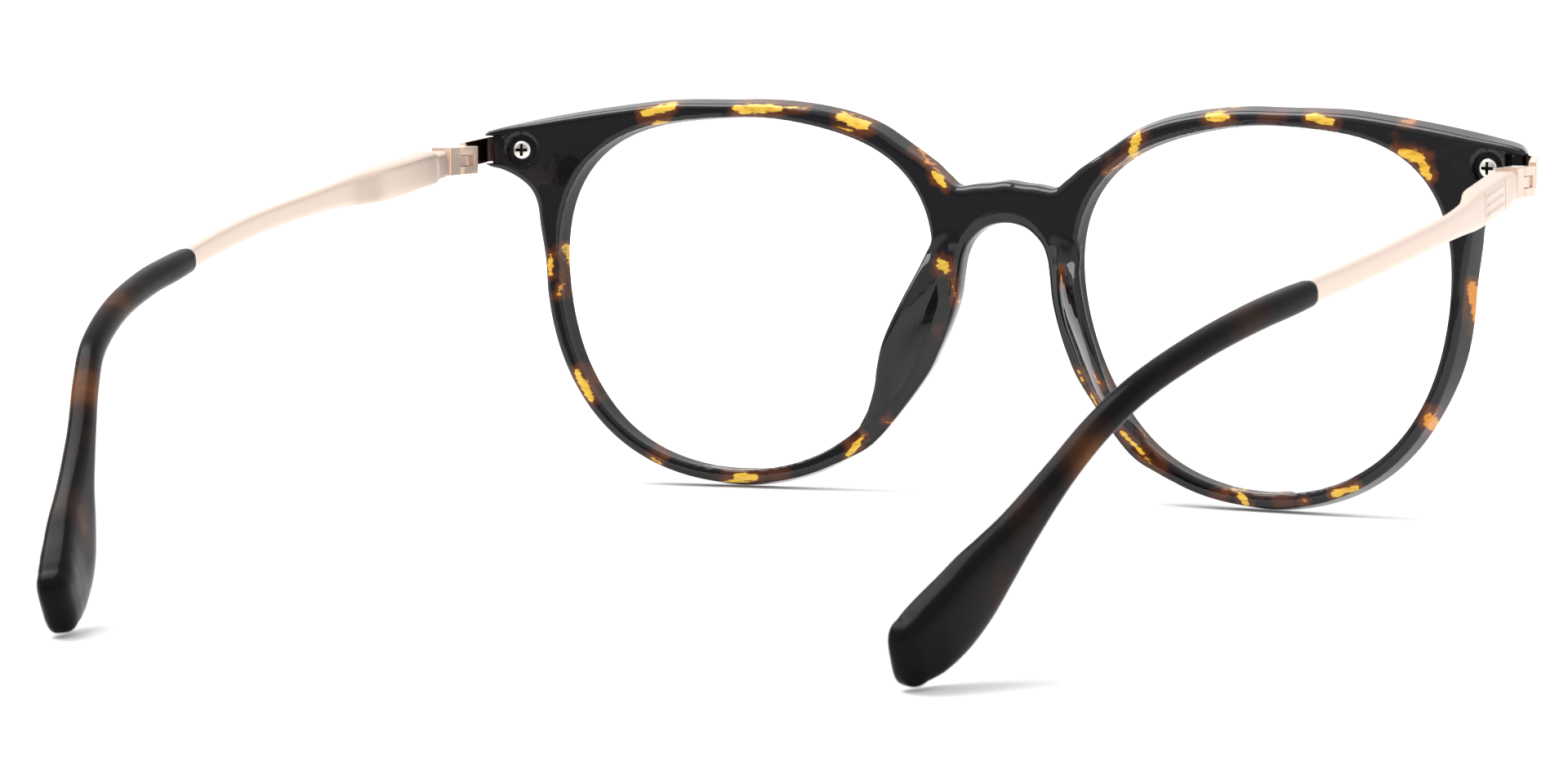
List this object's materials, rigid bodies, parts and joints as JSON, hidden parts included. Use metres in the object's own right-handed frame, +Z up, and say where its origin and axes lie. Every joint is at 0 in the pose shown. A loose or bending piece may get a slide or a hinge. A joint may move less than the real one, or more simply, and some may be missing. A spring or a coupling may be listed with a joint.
{
  "type": "eyeglasses frame",
  "caption": "Round-lens eyeglasses with a moulded tortoise front and nose pads, slim metal temples on sprung hinges, and acetate temple tips.",
  "frame": {"origin": "centre of the footprint of the open glasses, on the plane that the rim bottoms and the temple tips stand on", "axes": "+X towards the wearer's left, +Y backwards along the temples, +Z up; the lenses face -Y"},
  "size_m": [0.1432, 0.1563, 0.0494],
  "materials": {
    "tortoise_acetate": "polished tortoise, near black with amber and yellow flecks",
    "tip_acetate": "satin-polished dark tortoise",
    "rose_gold_metal": "pale rose-gold plating, satin",
    "screw_steel": "polished steel",
    "spring_steel": "drawn wire, plain",
    "bush_brass": "turned",
    "clear_lens": "clear demonstration lens"
  },
  "bodies": {
    "front": {"front_frame": "tortoise_acetate", "lens_left": "clear_lens", "lens_right": "clear_lens", "endpiece_plate_left": "rose_gold_metal", "endpiece_plate_right": "rose_gold_metal", "endpiece_screw_left": "screw_steel", "endpiece_screw_right": "screw_steel", "hinge_screw_left": "screw_steel", "hinge_screw_right": "screw_steel"},
    "slider_left": {"hinge_slider_left": "rose_gold_metal", "slider_nut_left": "spring_steel", "flex_spring_left": "spring_steel"},
    "temple_left": {"temple_arm_left": "rose_gold_metal", "temple_tip_left": "tip_acetate", "guide_bush_left": "bush_brass"},
    "slider_right": {"hinge_slider_right": "rose_gold_metal", "slider_nut_right": "spring_steel", "flex_spring_right": "spring_steel"},
    "temple_right": {"temple_arm_right": "rose_gold_metal", "temple_tip_right": "tip_acetate", "guide_bush_right": "bush_brass"}
  },
  "joints": [
    {"name": "temple_fold_left", "type": "hinge", "parent": "front", "child": "slider_left", "pos_m": [0.06955, -0.06141, 0.04174], "axis": [0, -0.0136, 0.9999], "range_deg": [-8, 84]},
    {"name": "flex_left", "type": "slide", "parent": "slider_left", "child": "temple_left", "axis": [0.0356, 0.9936, -0.1075], "range_m": [0, 0.001], "stiffness_N_per_m": 3000, "springref_m": -0.0005},
    {"name": "temple_fold_right", "type": "hinge", "parent": "front", "child": "slider_right", "pos_m": [-0.06955, -0.06141, 0.04174], "axis": [0, 0.0136, -0.9999], "range_deg": [-8, 80]},
    {"name": "flex_right", "type": "slide", "parent": "slider_right", "child": "temple_right", "axis": [-0.0356, 0.9936, -0.1075], "range_m": [0, 0.001], "stiffness_N_per_m": 3000, "springref_m": -0.0005}
  ]
}
